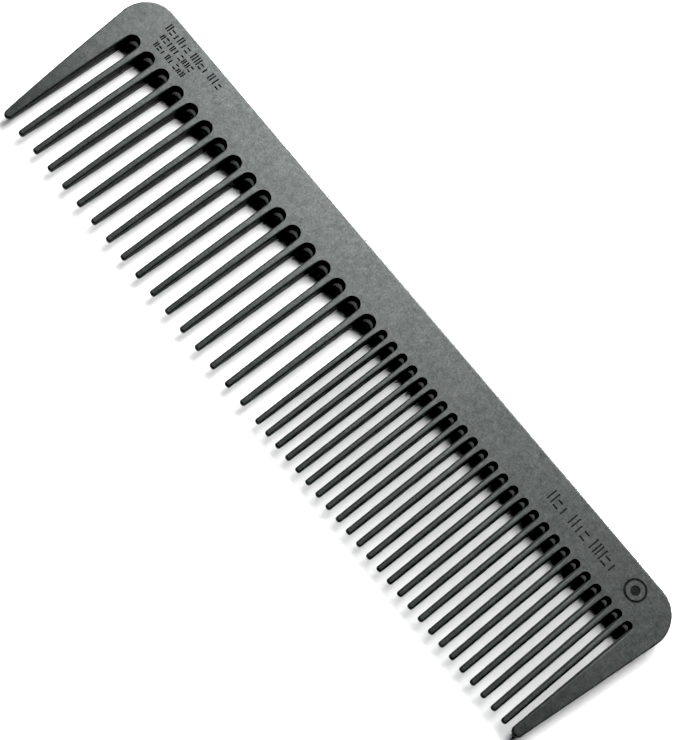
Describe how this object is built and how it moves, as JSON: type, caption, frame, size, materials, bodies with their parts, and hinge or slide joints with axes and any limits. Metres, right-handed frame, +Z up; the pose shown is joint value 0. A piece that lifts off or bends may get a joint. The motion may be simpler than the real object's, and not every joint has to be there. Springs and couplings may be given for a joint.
{
  "type": "pet comb",
  "caption": "Flat grooming comb for dogs and cats, even along its spine and thinning to its tooth tips, with a wide guard tooth at each end, long coarse teeth along one half and closer fine teeth along the other.",
  "frame": {"origin": "middle of the comb's outline, at the height of the spine's flat lower face that it lies on", "axes": "+X along the spine towards the fine teeth, +Y from the tooth tips to the back edge, +Z up out of the upper face"},
  "size_m": [0.178, 0.044, 0.004],
  "materials": {
    "comb_plastic": "matt charcoal, carbon-fibre-filled, faintly mottled"
  },
  "bodies": {
    "root": {"spine": "comb_plastic", "end_tooth_coarse_side": "comb_plastic", "end_tooth_fine_side": "comb_plastic", "coarse_tooth_01": "comb_plastic", "coarse_tooth_02": "comb_plastic", "coarse_tooth_03": "comb_plastic", "coarse_tooth_04": "comb_plastic", "coarse_tooth_05": "comb_plastic", "coarse_tooth_06": "comb_plastic", "coarse_tooth_07": "comb_plastic", "coarse_tooth_08": "comb_plastic", "coarse_tooth_09": "comb_plastic", "coarse_tooth_10": "comb_plastic", "coarse_tooth_11": "comb_plastic", "coarse_tooth_12": "comb_plastic", "coarse_tooth_13": "comb_plastic", "coarse_tooth_14": "comb_plastic", "coarse_tooth_15": "comb_plastic", "coarse_tooth_16": "comb_plastic", "fine_tooth_01": "comb_plastic", "fine_tooth_02": "comb_plastic", "fine_tooth_03": "comb_plastic", "fine_tooth_04": "comb_plastic", "fine_tooth_05": "comb_plastic", "fine_tooth_06": "comb_plastic", "fine_tooth_07": "comb_plastic", "fine_tooth_08": "comb_plastic", "fine_tooth_09": "comb_plastic", "fine_tooth_10": "comb_plastic", "fine_tooth_11": "comb_plastic", "fine_tooth_12": "comb_plastic", "fine_tooth_13": "comb_plastic", "fine_tooth_14": "comb_plastic", "fine_tooth_15": "comb_plastic", "fine_tooth_16": "comb_plastic", "fine_tooth_17": "comb_plastic", "fine_tooth_18": "comb_plastic", "fine_tooth_19": "comb_plastic", "fine_tooth_20": "comb_plastic", "fine_tooth_21": "comb_plastic", "fine_tooth_22": "comb_plastic", "fine_tooth_23": "comb_plastic", "fine_tooth_24": "comb_plastic", "fine_tooth_25": "comb_plastic"}
  },
  "joints": []
}
